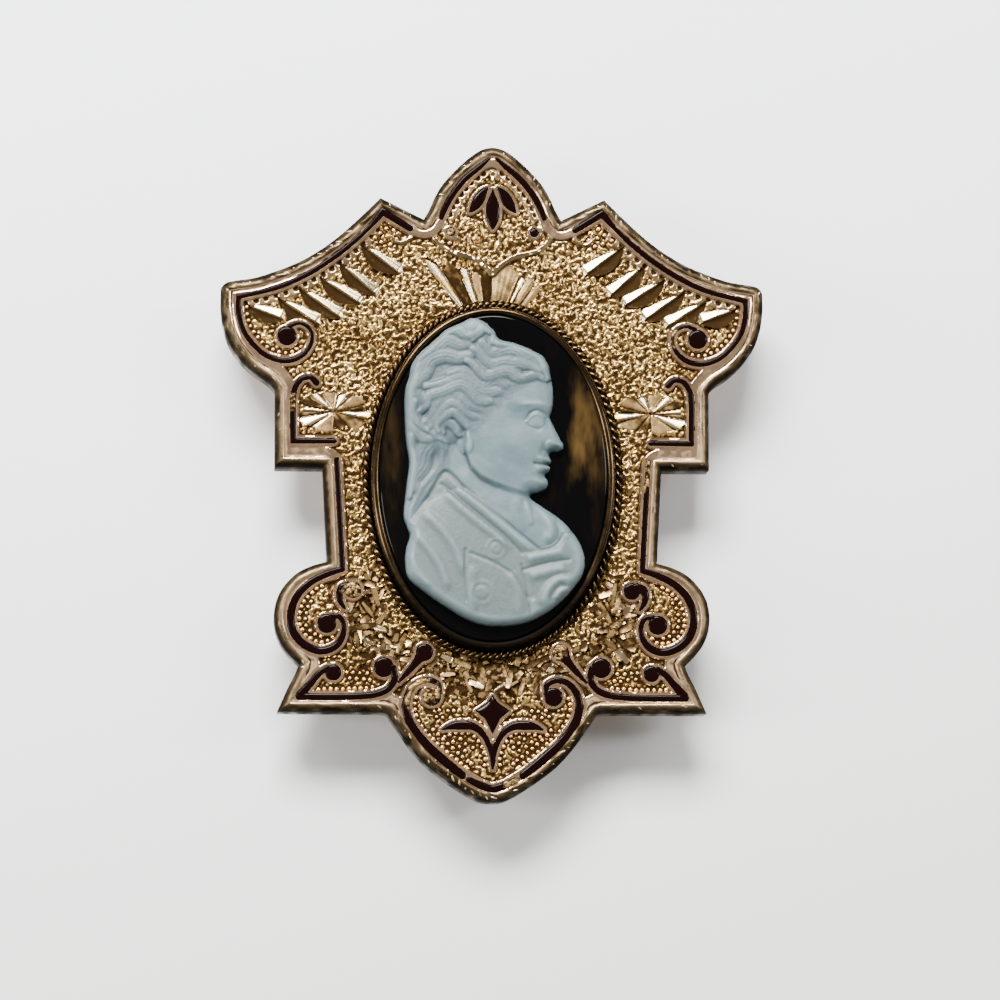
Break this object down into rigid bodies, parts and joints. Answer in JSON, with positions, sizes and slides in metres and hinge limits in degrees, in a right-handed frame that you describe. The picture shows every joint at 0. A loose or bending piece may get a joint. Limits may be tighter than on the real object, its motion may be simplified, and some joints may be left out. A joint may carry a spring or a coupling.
{
  "type": "cameo brooch",
  "caption": "Shield-shaped gold brooch with black enamel scrolls round an oval hardstone cameo of a bust in profile, and a pin clasp on its back that fastens it to cloth.",
  "frame": {"origin": "centre of the bounding box in plan, on the plane on which the clasp stands when the brooch lies on its back", "axes": "+Z out of the brooch's face, +Y towards its top lobe, +X to the viewer's right when looking at the face"},
  "size_m": [0.0346, 0.042, 0.0084],
  "materials": {
    "front_gold": "pale rose gold, matt stippled field with polished borders and bright cuts",
    "back_gold": "plain gold plate with fine wear",
    "pin_gold": "plain polished gold wire, slightly darkened",
    "onyx": "black, highly polished",
    "cameo_layer": "pale blue-white carved layer, softly polished",
    "enamel": "black enamel, polished flush with the metal"
  },
  "bodies": {
    "root": {"setting": "front_gold", "back_plate": "back_gold", "pin_clasp": "pin_gold", "stone": "onyx", "cameo_relief": "cameo_layer", "enamel_top_arch_left": "enamel", "enamel_top_arch_right": "enamel", "enamel_top_dot_left": "enamel", "enamel_top_dot_right": "enamel", "enamel_top_petal_left": "enamel", "enamel_top_petal_centre": "enamel", "enamel_top_petal_right": "enamel", "enamel_wing_left": "enamel", "enamel_wing_right": "enamel", "enamel_step_left": "enamel", "enamel_step_right": "enamel", "enamel_side_scroll_left": "enamel", "enamel_side_scroll_right": "enamel", "enamel_comma_left": "enamel", "enamel_comma_right": "enamel", "enamel_corner_scroll_left": "enamel", "enamel_corner_scroll_right": "enamel", "enamel_club_left": "enamel", "enamel_club_right": "enamel", "enamel_bottom_scroll_left": "enamel", "enamel_bottom_scroll_right": "enamel", "enamel_bottom_tip": "enamel", "enamel_bottom_star": "enamel", "enamel_bottom_fork": "enamel"}
  },
  "joints": []
}
